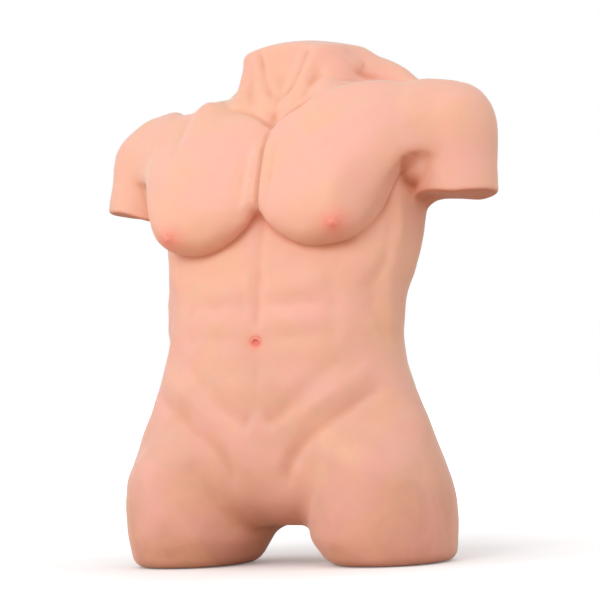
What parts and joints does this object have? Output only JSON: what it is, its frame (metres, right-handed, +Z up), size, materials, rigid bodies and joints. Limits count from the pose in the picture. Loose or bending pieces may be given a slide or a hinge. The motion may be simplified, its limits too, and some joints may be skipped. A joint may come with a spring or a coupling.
{
  "type": "torso mannequin",
  "caption": "Headless male torso mannequin with neck, arm and thigh stumps, soft skin over foam and a steel frame hinged at the waist, neutral pelvis.",
  "frame": {"origin": "on the resting plane, under the middle of the overall width and depth, between the two thigh cuts", "axes": "+Z up, the front of the torso faces -Y, the figure's left side is +X"},
  "size_m": [0.484, 0.2431, 0.598],
  "materials": {
    "skin": "satin",
    "foam": "matte",
    "steel_tube": "satin",
    "steel_plate": "satin",
    "cast_fitting": "satin",
    "zinc_fastener": "satin",
    "spring_steel": "satin",
    "bronze_washer": "satin",
    "black_rubber": "matte"
  },
  "bodies": {
    "pelvis_section": {"skin_pelvis": "skin", "skin_waist": "skin", "foam_core_pelvis": "foam", "foam_core_waist": "foam", "pelvis_crossbar": "steel_tube", "pelvis_tee": "cast_fitting", "lumbar_post": "steel_tube", "hip_elbow_left": "cast_fitting", "hip_elbow_right": "cast_fitting", "thigh_post_left": "steel_tube", "thigh_post_right": "steel_tube", "thigh_plate_left": "steel_plate", "thigh_plate_right": "steel_plate", "thigh_plate_bolt_left": "zinc_fastener", "thigh_plate_bolt_right": "zinc_fastener", "hinge_fork": "cast_fitting", "hinge_bolt": "zinc_fastener", "hinge_nut": "zinc_fastener", "disc_springs": "spring_steel", "friction_washers": "bronze_washer"},
    "chest_section": {"skin_chest": "skin", "foam_core_chest": "foam", "hinge_blade": "cast_fitting", "chest_post": "steel_tube", "shoulder_cross": "cast_fitting", "shoulder_crossbar": "steel_tube", "shoulder_cap_left": "black_rubber", "shoulder_cap_right": "black_rubber", "neck_post": "steel_tube", "neck_plate": "steel_plate", "neck_plate_bolt": "zinc_fastener"}
  },
  "joints": [
    {"name": "waist_bend", "type": "hinge", "parent": "pelvis_section", "child": "chest_section", "pos_m": [0, -0.0103, 0.245], "axis": [1, 0, 0], "range_deg": [-10, 25], "deforming": ["skin_waist", "foam_core_waist"]}
  ]
}
